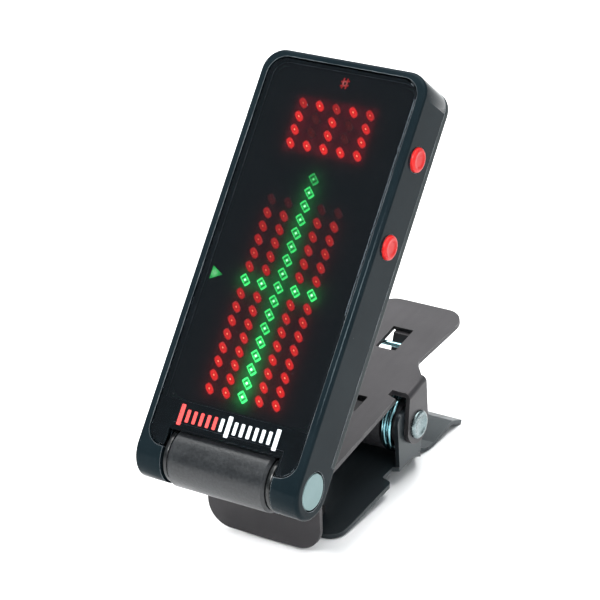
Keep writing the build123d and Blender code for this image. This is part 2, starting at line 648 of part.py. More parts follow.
with BuildPart() as upper_pad:
    with BuildSketch(sheet_plane(under - PAD_STRIP_THICK)):
        with Locations((0, (lip_s + PAD_FROM_LIP + PAD_STRIP_BACK) / 2)):
            Rectangle(2 * PAD_STRIP_HALF, PAD_STRIP_BACK - lip_s - PAD_FROM_LIP)
    extrude(amount=PAD_STRIP_THICK)
    with BuildSketch(side_plane()):
        strip_z = [(under - PAD_OVERLAP + y * sin(SLOPE)) / cos(SLOPE) for y in (lip_back, PAD_TIP_BACK)]
        Polygon((lip_back, strip_z[0]), (lip_back, jaw_top(lip_back, LOWER_PAD_THICK + PAD_GAP)),
                (PAD_TIP_BACK, jaw_top(PAD_TIP_BACK, LOWER_PAD_THICK + PAD_GAP)),
                (PAD_TIP_BACK, strip_z[1]), align=None)
    extrude(amount=PAD_TIP_HALF, both=True)
    with BuildSketch(sheet_plane(under)):
        with Locations(*FOOT_RIVETS):
            Circle(TAIL_POCKET[0])
    extrude(amount=-TAIL_POCKET[1], mode=Mode.SUBTRACT)
save(upper_pad.part, "upper_pad")

with BuildPart() as lower_pad:
    with BuildSketch(side_plane()):
        y0, y1 = LOWER_PAD_Y
        Polygon((y0, jaw_top(y0)), (y1, jaw_top(y1)), (y1, jaw_top(y1, LOWER_PAD_THICK)),
                (y0, jaw_top(y0, LOWER_PAD_THICK)), align=None)
    extrude(amount=PAD_TIP_HALF, both=True)
save(lower_pad.part, "lower_pad")

RIVET_EDGE = 0.12          # height of a head at its outer edge
RIVET_DISH = [(0.22, 0), (0.25, 0.8), (0.48, 1.42), (0.42, 1.78)]  # height, radius: dished, raised rim
with BuildPart() as clip_pin:
    add(x_cylinder(CLIP_PIN_R, -EAR_OUTER, EAR_OUTER, CLIP_PIN))
    for side in (-1, 1):
        with BuildSketch(Plane(origin=CLIP_PIN + Vector(side * EAR_OUTER, 0, 0),
                               x_dir=(side, 0, 0), z_dir=(0, -side, 0))):
            with BuildLine():
                Polyline((0, RIVET_R), (0, 0), (RIVET_DISH[0][0], 0))
                ThreePointArc((RIVET_DISH[0][0], 0), RIVET_DISH[1], RIVET_DISH[2])
                ThreePointArc(RIVET_DISH[2], RIVET_DISH[3], (RIVET_EDGE, RIVET_R))
                Polyline((RIVET_EDGE, RIVET_R), (0, RIVET_R))
            make_face()
        revolve(axis=Axis(CLIP_PIN, (1, 0, 0)))
save(clip_pin.part, "clip_pin")

MANDREL_R = 3.35
MANDREL_HALF = 6.95
with BuildPart() as spring_spool:
    add(x_cylinder(SPOOL_R, -SPOOL_HALF, SPOOL_HALF, CLIP_PIN))
    add(x_cylinder(MANDREL_R, -MANDREL_HALF, MANDREL_HALF, CLIP_PIN))
    add(x_cylinder(CLIP_PIN_R + PRESS_GAP, -PAST, PAST, CLIP_PIN), mode=Mode.SUBTRACT)
save(spring_spool.part, "spring_spool")


def bent_wire(points, bend):
    """Wire along straight runs joined by tangent bends, a hair thinner than the coil that it enters."""
    with BuildPart() as run:
        with BuildLine() as path:
            FilletPolyline(*points, radius=bend)
        with BuildSketch(Plane(origin=path.line @ 0, z_dir=path.line % 0)):
            Circle(WIRE_R - ROOT_STEP)
        sweep()
    return run.part


def spring_point(x, y, z):
    """A point in the row's frame from sizes measured from the hinge axis."""
    return (x, HINGE_Y + y, HINGE_Z + z)


COIL_R = COIL_OUTER_R - WIRE_R
BAR_S = 39.3               # cross bar, along the upper plate
BAR_GAP = 0.03
ROOT_STEP = 0.02
LEG_ROOT = 0.2             # a leg starts this far above the pin's level, inside its coil
ARM_ROOT = (-0.02, -0.15)  # an arm starts this far behind the coil's middle line and above the pin
LEG_BEND = 1.2
ARM_BEND = 1.0
KNEE = (0.6, -11.3)        # a leg's bend, behind the coil and up from the hinge axis
TOE = (1.2, 38.9, -12.15)  # a leg's end: inward of the coil, back and up from the hinge axis
bar_t = under - WIRE_R - BAR_GAP
bar_y = BAR_S * cos(SLOPE) - bar_t * sin(SLOPE)
bar_z = BAR_S * sin(SLOPE) + bar_t * cos(SLOPE)
coil_inner = COIL_START + WIRE_R
coil_outer = coil_inner + (COIL_TURNS - 1) * COIL_PITCH

with BuildPart() as torsion_spring:
    for side in (-1, 1):
        with BuildSketch(Plane(origin=CLIP_PIN, x_dir=(1, 0, 0), z_dir=(0, -1, 0))):
            with Locations(*[(side * (coil_inner + i * COIL_PITCH), COIL_R) for i in range(COIL_TURNS)]):
                Circle(WIRE_R)
        revolve(axis=Axis(CLIP_PIN, (1, 0, 0)))
        leg = [(side * coil_outer, PIN_Y + COIL_R, PIN_Z + LEG_ROOT),
               (side * coil_outer, PIN_Y + COIL_R + KNEE[0], KNEE[1]),
               (side * (coil_outer - TOE[0]), TOE[1], TOE[2])]
        add(bent_wire([spring_point(*p) for p in leg], LEG_BEND))
    root = (PIN_Y + COIL_R + ARM_ROOT[0], PIN_Z + ARM_ROOT[1])
    arms = [(-coil_inner, *root), (-coil_inner, bar_y, bar_z), (coil_inner, bar_y, bar_z),
            (coil_inner, *root)]
    add(bent_wire([spring_point(*p) for p in arms], ARM_BEND))
save(torsion_spring.part, "torsion_spring")
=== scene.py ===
"""Looks of a clip-on instrument tuner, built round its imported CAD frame.

Metres throughout. +X runs right along the hinge barrel, +Y back, +Z up, and the display leans back.
"""
import math

import bmesh
import bpy
from mathutils import Matrix, Vector


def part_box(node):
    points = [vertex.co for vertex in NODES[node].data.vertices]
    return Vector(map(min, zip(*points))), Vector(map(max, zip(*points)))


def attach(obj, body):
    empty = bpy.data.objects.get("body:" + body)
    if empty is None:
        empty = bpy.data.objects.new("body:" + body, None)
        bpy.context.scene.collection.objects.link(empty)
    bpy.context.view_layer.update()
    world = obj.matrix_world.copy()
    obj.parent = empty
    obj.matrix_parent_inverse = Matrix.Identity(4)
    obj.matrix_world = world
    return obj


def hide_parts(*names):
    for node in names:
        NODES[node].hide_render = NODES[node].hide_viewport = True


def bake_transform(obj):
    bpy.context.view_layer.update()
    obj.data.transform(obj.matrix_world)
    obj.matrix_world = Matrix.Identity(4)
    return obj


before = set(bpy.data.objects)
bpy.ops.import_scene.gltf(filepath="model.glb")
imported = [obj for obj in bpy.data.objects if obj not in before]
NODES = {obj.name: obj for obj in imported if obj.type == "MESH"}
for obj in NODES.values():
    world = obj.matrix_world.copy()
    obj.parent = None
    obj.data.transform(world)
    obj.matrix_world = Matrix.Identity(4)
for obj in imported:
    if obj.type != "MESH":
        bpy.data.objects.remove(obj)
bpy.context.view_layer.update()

MM = 0.001
LEAN = math.radians(38.0)
SLOPE = math.radians(10.94)
ACROSS = Vector((1, 0, 0))
UP = Vector((0, math.sin(LEAN), math.cos(LEAN)))
OUT = Vector((0, -math.cos(LEAN), math.sin(LEAN)))
PLATE_BACK = Vector((0, math.cos(SLOPE), math.sin(SLOPE)))
PLATE_UP = Vector((0, -math.sin(SLOPE), math.cos(SLOPE)))


def middle(node):
    """Centre of a CAD node's box."""
    low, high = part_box(node)
    return (low + high) / 2


HINGE = middle("hinge_pin")
PIN = middle("clip_pin")


def face(x, v, w):
    """A point from millimetres across the display, up it from the hinge axis and out of it."""
    return HINGE + (ACROSS * x + UP * v + OUT * w) * MM


def plate(x, s, t):
    """A point from millimetres across the upper plate, back along it and up from it."""
    return HINGE + (ACROSS * x + PLATE_BACK * s + PLATE_UP * t) * MM


# ---- Materials --------------------------------------------------------------------------------
class Look:
    """A material whose colour, roughness and relief come from procedural nodes."""

    def __init__(self, name, **fixed):
        self.material = bpy.data.materials.new(name)
        self.material.use_nodes = True
        self.tree = self.material.node_tree
        self.shader = self.tree.nodes["Principled BSDF"]
        for socket, value in fixed.items():
            self.shader.inputs[socket.replace("_", " ")].default_value = value
        self.coords = self.node("ShaderNodeTexCoord").outputs["Object"]

    def node(self, kind, *inputs, **settings):
        """A node with its settings, and its inputs in order: values or other nodes' outputs."""
        made = self.tree.nodes.new(kind)
        for key, value in settings.items():
            setattr(made, key, value)
        for socket, value in zip(made.inputs, inputs):
            self.feed(socket, value)
        return made

    def feed(self, socket, value):
        """Links another node's output to a socket, or sets the socket's value."""
        if isinstance(value, bpy.types.NodeSocket):
            self.tree.links.new(value, socket)
        elif value is not None:
            socket.default_value = value

    def drive(self, socket, value):
        """Feeds one of the shader's own sockets."""
        self.feed(self.shader.inputs[socket], value)

    def maths(self, operation, a, b=None, c=None, clamp=False):
        return self.node("ShaderNodeMath", a, b, c, operation=operation, use_clamp=clamp).outputs[0]

    def stretched(self, scale):
        """The object's coordinates, scaled differently along each axis."""
        return self.node("ShaderNodeMapping", self.coords, None, None, scale).outputs[0]

    def noise(self, scale, detail=3.0, roughness=0.55, vector=None):
        made = self.node("ShaderNodeTexNoise")
        self.feed(made.inputs["Vector"], vector or self.coords)
        made.inputs["Scale"].default_value = scale
        made.inputs["Detail"].default_value = detail
        made.inputs["Roughness"].default_value = roughness
        return made.outputs["Fac"]

    def cells(self, scale):
        """Distance to the nearest point of a scatter."""
        made = self.node("ShaderNodeTexVoronoi")
        self.feed(made.inputs["Vector"], self.coords)
        made.inputs["Scale"].default_value = scale
        return made.outputs["Distance"]

    def ramp(self, factor, *stops):
        """A colour ramp through (place, colour) stops."""
        made = self.node("ShaderNodeValToRGB", factor)
        elements = made.color_ramp.elements
        while len(elements) < len(stops):
            elements.new(0.5)
        for element, (place, colour) in zip(elements, stops):
            element.position = place
            element.color = (*colour, 1)
        return made.outputs["Color"]

    def span(self, factor, low, high, start=0.3, end=0.7):
        """A value that goes from low to high as factor goes from start to end."""
        return self.node("ShaderNodeMapRange", factor, start, end, low, high).outputs["Result"]

    def mix(self, factor, a, b):
        """Colour a where factor is 0, colour b where it is 1."""
        made = self.node("ShaderNodeMix", data_type="RGBA")
        for index, value in ((0, factor), (6, a), (7, b)):
            if isinstance(value, tuple):
                value = (*value, 1)
            self.feed(made.inputs[index], value)
        return made.outputs[2]

    def edges(self, radius):
        """1 on convex and concave edges, 0 on flat ground."""
        soft = self.node("ShaderNodeBevel", samples=4)
        soft.inputs["Radius"].default_value = radius
        hard = self.node("ShaderNodeNewGeometry").outputs["Normal"]
        facing = self.node("ShaderNodeVectorMath", soft.outputs[0], hard, operation="DOT_PRODUCT")
        return self.span(facing.outputs["Value"], 1.0, 0.0, 0.86, 0.998)

    def relief(self, *layers):
        """Bump layers, each (height, strength, depth in metres)."""
        normal = None
        for height, strength, depth in layers:
            bump = self.node("ShaderNodeBump")
            bump.inputs["Strength"].default_value = strength
            bump.inputs["Distance"].default_value = depth
            self.feed(bump.inputs["Height"], height)
            if normal is not None:
                self.feed(bump.inputs["Normal"], normal)
            normal = bump.outputs["Normal"]
        self.drive("Normal", normal)

    def put(self, *names):
        """Gives this material to CAD nodes."""
        for name in names:
            dress(NODES[name], self.material)
        return self


def dress(obj, *materials):
    """Replaces an object's materials."""
    obj.data.materials.clear()
    for material in materials:
        obj.data.materials.append(material)


def gloss_black(name, dark, light, rough):
    """Polished black moulding: faint flow marks, finger smudges and dust, with a painted highlight along its
    edges.
    """
    look = Look(name, IOR=1.5, Specular_IOR_Level=0.032, Specular_Tint=(0.74, 0.92, 1.0, 1))
    flow = look.noise(90, 4)
    dust = look.span(look.cells(1500), 1.0, 0.0, 0.03, 0.075)
    specks = look.maths("MULTIPLY", dust, look.span(look.noise(420, 2), 0.0, 1.0, 0.58, 0.66))
    base = look.ramp(flow, (0.3, dark), (0.7, light))
    # Painted highlight: in patches along the edges the base colour turns light grey.
    patches = look.span(look.noise(300, 3), 0.25, 0.7, 0.4, 0.62)
    painted_edge_glint = look.maths("MULTIPLY", look.edges(0.00014), patches)
    base = look.mix(painted_edge_glint, base, (0.30, 0.33, 0.35))
    look.drive("Base Color", look.mix(look.maths("MULTIPLY", specks, 0.28), base, (0.4, 0.42, 0.44)))
    smudge = look.span(look.noise(160, 5, 0.7), rough[0], rough[1], 0.42, 0.66)
    look.drive("Roughness", look.maths("ADD", smudge, look.maths("MULTIPLY", specks, 0.3)))
    look.relief((look.noise(220, 2), 0.05, 0.00006), (look.noise(5200, 2), 0.03, 0.00001))
    return look


def coated_steel(name, dark, light, rough, tint, level):
    """Black-coated sheet steel: fine orange peel, faint rolling marks, edges worn a little."""
    look = Look(name, IOR=1.5, Specular_IOR_Level=level, Specular_Tint=tint)
    tone = look.noise(140, 5, 0.6)
    worn = look.maths("MULTIPLY", look.edges(0.00018), look.span(look.noise(700, 4), 0.15, 1.0, 0.4, 0.62))
    base = look.ramp(tone, (0.32, dark), (0.68, light))
    look.drive("Base Color", look.mix(look.maths("MULTIPLY", worn, 0.4), base, (0.16, 0.155, 0.15)))
    rolled = look.noise(900, 3, 0.5, look.stretched((1.0, 0.06, 0.3)))
    look.drive("Roughness", look.span(rolled, rough[0], rough[1], 0.3, 0.7))
    look.relief((look.noise(2600, 3, 0.6), 0.22, 0.00003), (look.noise(240, 2), 0.08, 0.0001))
    return look


def bare_metal(name, dark, light, rough, stretch=(1, 1, 1), scale=1800, worn=(0.9, 0.92, 0.92)):
    """Plated or plain metal with drawn or turned marks along one direction."""
    look = Look(name, Metallic=1.0)
    marks = look.noise(scale, 4, 0.6, look.stretched(stretch))
    patches = look.noise(260, 3)
    blend = look.maths("ADD", look.maths("MULTIPLY", marks, 0.5), look.maths("MULTIPLY", patches, 0.5))
    base = look.ramp(blend, (0.36, dark), (0.64, light))
    look.drive("Base Color", look.mix(look.maths("MULTIPLY", look.edges(0.00012), 0.6), base, worn))
    look.drive("Roughness", look.span(marks, rough[0], rough[1]))
    look.relief((marks, 0.12, 0.00002))
    return look


def moulded(name, dark, light, rough, grain=3200, depth=0.00004, strength=0.3):
    """Textured moulding: spark-eroded grain with patchy sheen."""
    look = Look(name, IOR=1.49, Specular_IOR_Level=0.34)
    fine = look.noise(grain, 3, 0.65)
    broad = look.noise(170, 4, 0.6)
    grainy = look.maths("ADD", look.maths("MULTIPLY", fine, 0.6), look.maths("MULTIPLY", broad, 0.4))
    patchy = look.maths("ADD", look.maths("MULTIPLY", broad, 0.7), look.maths("MULTIPLY", fine, 0.3))
    look.drive("Base Color", look.ramp(grainy, (0.36, dark), (0.64, light)))
    look.drive("Roughness", look.span(patchy, rough[0], rough[1]))
    look.relief((fine, strength, depth))
    return look


shell = gloss_black("gloss_shell", (0.0040, 0.0076, 0.0098), (0.0070, 0.0118, 0.0144), (0.07, 0.15))
shell.put("head_shell")
cover = gloss_black("gloss_cover", (0.0200, 0.0250, 0.0260), (0.0310, 0.0370, 0.0380), (0.16, 0.26))
cover.put("back_cover")
door = gloss_black("gloss_door", (0.0036, 0.0050, 0.0062), (0.0066, 0.0086, 0.0100), (0.12, 0.22))
door.put("battery_door")

steel_upper = coated_steel("coated_upper", (0.021, 0.021, 0.022), (0.032, 0.031, 0.033), (0.34, 0.46),
                           (1.0, 0.93, 0.97, 1), 0.25)
steel_upper.put("upper_plate")
# Painted shade: the lower plate has the same coat as the upper one, given darker, cooler colours where it
# lies in shade.
shaded_steel_lower = coated_steel("coated_lower_painted_shade", (0.008, 0.011, 0.013), (0.014, 0.018, 0.021), (0.32, 0.44),
                           (0.85, 0.97, 1.0, 1), 0.4)
shaded_steel_lower.put("lower_plate")

barrel = moulded("satin_barrel", (0.006, 0.007, 0.008), (0.016, 0.018, 0.020), (0.27, 0.42),
                 grain=2600, depth=0.00007, strength=0.5)
barrel.put("hinge_barrel")
moulded("spool_plastic", (0.012, 0.012, 0.014), (0.026, 0.026, 0.029), (0.5, 0.66)).put("spring_spool")
moulded("washer_nylon", (0.004, 0.005, 0.005), (0.009, 0.010, 0.011), (0.22, 0.34)).put("friction_washers")
epoxy = moulded("chip_epoxy", (0.008, 0.008, 0.009), (0.018, 0.018, 0.02), (0.5, 0.66))
epoxy.put("processor", "switches")

cap = bare_metal("cap_metal", (0.125, 0.187, 0.190), (0.165, 0.234, 0.237), (0.46, 0.58), scale=3600,
                 worn=(0.34, 0.42, 0.42))
cap.put("hinge_cap_left", "hinge_cap_right")
zinc = bare_metal("rivet_zinc", (0.11, 0.145, 0.149), (0.18, 0.222, 0.227), (0.20, 0.34), scale=2400)
zinc.put("clip_pin", "foot_rivets")
pin = bare_metal("pin_steel", (0.36, 0.37, 0.38), (0.56, 0.57, 0.58), (0.25, 0.4), stretch=(0.1, 1, 1))
pin.put("hinge_pin")
bare_metal("screw_steel", (0.20, 0.20, 0.21), (0.42, 0.42, 0.44), (0.28, 0.42)).put("cover_screws")
bare_metal("cell_nickel", (0.62, 0.62, 0.6), (0.78, 0.77, 0.75), (0.2, 0.32)).put("coin_cell")
bronze = bare_metal("contact_bronze", (0.6, 0.5, 0.3), (0.78, 0.68, 0.45), (0.25, 0.35))
bronze.put("contact_positive", "contact_negative")
bare_metal("piezo_brass", (0.6, 0.44, 0.16), (0.78, 0.6, 0.26), (0.3, 0.42)).put("piezo_disc")


def board_look():
    """Solder mask over copper tracks, with tinned pads."""
    look = Look("solder_mask", Coat_Weight=0.4)
    tracks = look.node("ShaderNodeTexBrick", look.coords)
    tracks.inputs["Scale"].default_value = 420
    tracks.inputs["Mortar Size"].default_value = 0.035
    pads = look.span(look.cells(500), 1.0, 0.0, 0.12, 0.16)
    base = look.mix(tracks.outputs["Fac"], (0.004, 0.05, 0.025), (0.012, 0.11, 0.045))
    look.drive("Base Color", look.mix(pads, base, (0.55, 0.53, 0.46)))
    look.drive("Metallic", pads)
    look.drive("Roughness", look.span(look.noise(800, 2), 0.3, 0.45))
    look.relief((tracks.outputs["Fac"], 0.3, 0.00003))
    return look


board_look().put("display_board")


def window_look():
    """Smoked acrylic window: dark, polished, with faint smudges and dust."""
    look = Look("smoked_window", IOR=1.46, Transmission_Weight=1.0, Specular_IOR_Level=0.5,
                Specular_Tint=(0.72, 0.88, 1.0, 1))
    tone = look.noise(70, 3)
    look.drive("Base Color", look.ramp(tone, (0.3, (0.205, 0.20, 0.215)), (0.7, (0.225, 0.22, 0.235))))
    look.drive("Roughness", look.span(look.noise(190, 5, 0.7), 0.0, 0.035, 0.5, 0.72))
    look.relief((look.noise(150, 2), 0.02, 0.00005))
    return look


window_look().put("window_panel")


def rubber_look():
    """Matte rubber with a fine chalky bloom."""
    look = Look("pad_rubber", IOR=1.52, Specular_IOR_Level=0.3)
    bloom = look.noise(900, 5, 0.7)
    look.drive("Base Color", look.ramp(bloom, (0.35, (0.010, 0.010, 0.011)), (0.72, (0.034, 0.034, 0.036))))
    look.drive("Roughness", look.span(bloom, 0.72, 0.9))
    look.relief((look.noise(3800, 2), 0.35, 0.00004))
    return look


def button_look():
    """Semi-gloss red moulding, with a painted highlight that makes its rim paler."""
    look = Look("button_red", IOR=1.49, Specular_IOR_Level=0.14, Subsurface_Weight=0.12,
                Subsurface_Radius=(0.001, 0.0003, 0.0002), Subsurface_Scale=0.5)
    tone = look.noise(600, 3)
    base = look.ramp(tone, (0.3, (0.42, 0.011, 0.011)), (0.7, (0.52, 0.019, 0.018)))
    # Painted highlight: the base colour turns paler round the rim.
    painted_rim_highlight = look.maths("MULTIPLY", look.edges(0.0002), 0.45)
    look.drive("Base Color", look.mix(painted_rim_highlight, base, (0.70, 0.09, 0.08)))
    look.drive("Roughness", look.span(look.noise(1500, 3), 0.26, 0.38))
    look.relief((look.noise(4200, 2), 0.12, 0.00002))
    return look


# ---- Mesh helpers -----------------------------------------------------------------------------
def finish_mesh(name, mesh, body, materials=(), replaces=()):
    """Links a finished bmesh as a piece that rides on a body."""
    data = bpy.data.meshes.new(name)
    bmesh.ops.recalc_face_normals(mesh, faces=mesh.faces)
    mesh.to_mesh(data)
    mesh.free()
    obj = bpy.data.objects.new(name, data)
    bpy.context.scene.collection.objects.link(obj)
    for material in materials:
        data.materials.append(material)
    if body:
        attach(obj, body)
    if replaces:
        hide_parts(*replaces)
    return obj


def shade(obj, angle):
    """Smooth shading with sharp creases above the angle, in degrees."""
    for polygon in obj.data.polygons:
        polygon.use_smooth = True
    obj.data.set_sharp_from_angle(angle=math.radians(angle))


EDGE_SEGMENTS = 2
HARD_EDGE = math.radians(35.0)
SAME_POINT = 1e-7


def soften(obj, width):
    """A small real radius on every hard edge."""
    weld = obj.modifiers.new("weld", "WELD")
    weld.merge_threshold = SAME_POINT
    bevel = obj.modifiers.new("edges", "BEVEL")
    bevel.width = width
    bevel.segments = EDGE_SEGMENTS
    bevel.limit_method = "ANGLE"
    bevel.angle_limit = HARD_EDGE
    bevel.use_clamp_overlap = True


def tube(points, radius, sides=14):
    """A round wire through the points, with closed ends, as a bmesh."""
    mesh = bmesh.new()
    normal = None
    rings = []
    for i, point in enumerate(points):
        ahead = points[min(i + 1, len(points) - 1)] - points[max(i - 1, 0)]
        tangent = ahead.normalized()
        if normal is None:
            normal = tangent.orthogonal().normalized()
        normal = (normal - tangent * normal.dot(tangent)).normalized()
        side = tangent.cross(normal)
        ring = []
        for k in range(sides):
            a = 2 * math.pi * k / sides
            ring.append(mesh.verts.new(point + (normal * math.cos(a) + side * math.sin(a)) * radius))
        rings.append(ring)
    for near, far in zip(rings, rings[1:]):
        for k in range(sides):
            mesh.faces.new((near[k], near[(k + 1) % sides], far[(k + 1) % sides], far[k]))
    mesh.faces.new(rings[0][::-1])
    mesh.faces.new(rings[-1])
    return mesh


def rounded(points, radius, steps=6):
    """The points with each inner corner replaced by an arc."""
    out = [points[0]]
    for before, corner, after in zip(points, points[1:], points[2:]):
        into, away = (corner - before).normalized(), (after - corner).normalized()
        turn = into.angle(away)
        cut = radius * math.tan(turn / 2)
        start, end = corner - into * cut, corner + away * cut
        for k in range(steps + 1):
            t = k / steps
            out.append((start * (1 - t) + corner * t) * (1 - t) + (corner * (1 - t) + end * t) * t)
    out.append(points[-1])
    return out


def lathe(profile, centre, axis, across, steps=64):
    """A turned shape: profile is (distance along the axis, radius) in millimetres."""
    mesh = bmesh.new()
    other = axis.cross(across)
    rings = []
    for along, radius in profile:
        if radius < 1e-6:
            rings.append([mesh.verts.new(centre + axis * along * MM)])
            continue
        ring = []
        for k in range(steps):
            a = 2 * math.pi * k / steps
            ring.append(mesh.verts.new(centre + axis * along * MM
                                       + (across * math.cos(a) + other * math.sin(a)) * radius * MM))
        rings.append(ring)
    for near, far in zip(rings, rings[1:]):
        for k in range(steps):
            j = (k + 1) % steps
            corners = [near[k % len(near)], near[j % len(near)], far[j % len(far)], far[k % len(far)]]
            unique = list(dict.fromkeys(corners))
            if len(unique) > 2:
                mesh.faces.new(unique)
    return mesh


# ---- Display ----------------------------------------------------------------------------------
COLUMN_PITCH = 2.45
ROW_PITCH = 1.79
FIRST_ROW = 8.67
IN_TUNE = 8
NOTE_FIRST = 18.24
RED = (1.0, 0.022, 0.018)
GREEN = (0.055, 1.0, 0.19)


def led(column, row, colour, level):
    """One light: its place in millimetres on the display, its colour and its brightness."""
    return (column * COLUMN_PITCH, FIRST_ROW + row * ROW_PITCH, colour, level)


def fade(row, stops):
    """A brightness read off (row, level) stops."""
    for (r0, a), (r1, b) in zip(stops, stops[1:]):
        if row <= r1:
            return a + (b - a) * (row - r0) / (r1 - r0)
    return stops[-1][1]


GREEN_FADE = [(0, 1.7), (3, 1.45), (5, 0.95), (9, 0.85), (15, 0.8), (16, 0.4)]
RED_FADE = [(0, 1.0), (4, 0.8), (7, 0.62), (11, 0.5), (13, 0.42), (14, 0.05)]
greens = [led(0, row, GREEN, fade(row, GREEN_FADE)) for row in range(17)]
greens += [led(column, IN_TUNE, GREEN, 1.05) for column in (-2, -1, 1, 2)]
reds = [led(column, row, RED, fade(row, RED_FADE))
        for column in (-2, -1, 1, 2) for row in range(15) if row != IN_TUNE]
NOTE_LEVELS = [(0.95, 1.0, 1.0, 1.0, 0.95), (0.95, 0.07, 0.9, 0.07, 0.9), (0.95, 0.07, 0.9, 0.07, 0.85),
               (0.5, 0.95, 0.45, 0.95, 0.65)]
notes = [led(column - 2, NOTE_FIRST + i, RED, level)
         for i, row in enumerate(NOTE_LEVELS) for column, level in enumerate(row)]
NOTE_FIELD = (6.1, 40.1, 47.9)  # the lit pane behind the note: half width, foot and top
NOTE_FIELD_EDGE = 0.5
LENS_HALF = (0.79, 0.46)        # chip lights, long across the grid's corners
LENS_TURN = math.radians(-45.0)
LENS_TOP = 2.45                 # out of the display from the hinge axis, as is BOARD_FRONT
LENS_DOME = 0.07                # height of the dome at its middle
LENS_ROUND = 0.07               # share by which a lens's corners are drawn in
LENS_CELLS = 8
BOARD_FRONT = 1.95


def lens_look(name, colour, core, square):
    """A lit light: bright chip in the middle, and the lens's own structure round it."""
    look = Look(name, Base_Color=(0.02, 0.02, 0.02, 1), Coat_Weight=0.3)
    place = look.node("ShaderNodeSeparateXYZ", look.node("ShaderNodeUVMap").outputs[0])
    u = look.maths("ABSOLUTE", look.maths("SUBTRACT", place.outputs[0], 0.5))
    v = look.maths("ABSOLUTE", look.maths("SUBTRACT", place.outputs[1], 0.5))
    rim = look.maths("MAXIMUM", u, v)
    reach = look.maths("SQRT", look.maths("ADD", look.maths("MULTIPLY", u, u), look.maths("MULTIPLY", v, v)))
    if square:
        inner, outer = look.span(rim, 0.0, 1.0, 0.28, 0.40), look.span(rim, 1.0, 0.5, 0.46, 0.5)
        band = look.maths("MULTIPLY", inner, outer)
        chip = look.maths("MULTIPLY", look.span(u, 1.0, 0.0, 0.04, 0.12), look.span(v, 1.0, 0.0, 0.07, 0.2))
        wells = look.span(look.maths("ABSOLUTE", look.maths("SUBTRACT", u, 0.24)), 0.45, 0.0, 0.03, 0.09)
        body = look.maths("SUBTRACT", look.maths("ADD", look.maths("MULTIPLY", band, 0.6), 0.62), wells)
    else:
        inner, outer = look.span(reach, 0.0, 1.0, 0.2, 0.36), look.span(reach, 1.0, 0.0, 0.40, 0.62)
        ring = look.maths("MULTIPLY", inner, outer)
        body = look.maths("ADD", look.maths("MULTIPLY", ring, 0.35), look.span(reach, 0.72, 0.0, 0.3, 0.66))
        chip = look.span(reach, 1.0, 0.0, 0.03, 0.11)
    flicker = look.span(look.noise(9000, 2), 0.8, 1.2)
    level = look.node("ShaderNodeAttribute", attribute_name="level").outputs["Fac"]
    body = look.maths("MULTIPLY", look.maths("MULTIPLY", body, flicker), level)
    look.drive("Emission Color", look.mix(look.maths("MULTIPLY", chip, level, clamp=True), colour, core))
    strength = look.maths("ADD", look.maths("MULTIPLY", body, 4.4),
                          look.maths("MULTIPLY", look.maths("MULTIPLY", chip, level), 9.0))
    look.drive("Emission Strength", strength)
    look.drive("Roughness", look.span(flicker, 0.2, 0.4, 0.8, 1.2))
    return look.material


def lens_group(name, places, node, look):
    """Rounded oblong lenses on small packages, all in one piece."""
    mesh = bmesh.new()
    uv = mesh.loops.layers.uv.new("UVMap")
    level_layer = mesh.verts.layers.float.new("level")
    count = LENS_CELLS
    for x, v, _, level in places:
        grid = []
        for j in range(count + 1):
            row = []
            for i in range(count + 1):
                a, b = 2 * i / count - 1, 2 * j / count - 1
                squeeze = 1 - LENS_ROUND * (a * a) * (b * b)
                dome = LENS_DOME * (1 - a * a) * (1 - b * b)
                along, beside = a * squeeze * LENS_HALF[0], b * squeeze * LENS_HALF[1]
                vert = mesh.verts.new(face(x + along * math.cos(LENS_TURN) - beside * math.sin(LENS_TURN),
                                           v + along * math.sin(LENS_TURN) + beside * math.cos(LENS_TURN),
                                           LENS_TOP - LENS_DOME + dome))
                vert[level_layer] = level
                row.append(vert)
            grid.append(row)
        for j in range(count):
            for i in range(count):
                quad = mesh.faces.new((grid[j][i], grid[j][i + 1], grid[j + 1][i + 1], grid[j + 1][i]))
                quad.smooth = True
                for loop, (di, dj) in zip(quad.loops, ((0, 0), (1, 0), (1, 1), (0, 1))):
                    loop[uv].uv = ((i + di) / count, (j + dj) / count)
        rim = grid[0][:] + [r[-1] for r in grid[1:]] + grid[-1][-2::-1] + [r[0] for r in grid[-2:0:-1]]
        drop = OUT * (BOARD_FRONT - LENS_TOP + LENS_DOME) * MM
        foot = []
        for vert in rim:
            low = mesh.verts.new(vert.co + drop)
            low[level_layer] = 0.0
            foot.append(low)
        for k, vert in enumerate(rim):
            j = (k + 1) % len(rim)
            wall = mesh.faces.new((rim[j], vert, foot[k], foot[j]))
            for loop in wall.loops:
                loop[uv].uv = (0.0, 0.0)
    finish_mesh(name, mesh, "head", [look], [node])


green_lens = lens_look("lens_green", GREEN, (0.45, 1.0, 0.55), True)
red_lens = lens_look("lens_red", RED, (1.0, 0.42, 0.20), False)
lens_group("green_lights", greens, "green_leds", green_lens)
lens_group("red_lights", reds, "red_leds", red_lens)
lens_group("note_lights", notes, "note_leds", red_lens)

POINTER = [(-9.95, -0.86), (-8.35, 0.0), (-9.95, 0.86)]     # across, and up from the in-tune row
POINTER_MIDDLE = -9.5
SHARP = (0.0, 50.15)
SHARP_STEM_X = 0.26
SHARP_STEM = ((-0.09, -0.72), (0.09, -0.66), (0.09, 0.72), (-0.09, 0.66))
SHARP_BAR_V = 0.28
SHARP_BAR = ((-0.58, -0.20), (0.58, -0.01), (0.58, 0.20), (-0.58, 0.01))
SHARP_BAR_DROP = 0.02           # the bars lie this far below the stems


def prism(mesh, outline, bottom, top):
    """A flat-topped prism over an outline of (x, v) points on the display."""
    low = [mesh.verts.new(face(x, v, bottom)) for x, v in outline]
    high = [mesh.verts.new(face(x, v, top)) for x, v in outline]
    mesh.faces.new(high)
    mesh.faces.new(low[::-1])
    for k in range(len(outline)):
        j = (k + 1) % len(outline)
        mesh.faces.new((low[k], low[j], high[j], high[k]))


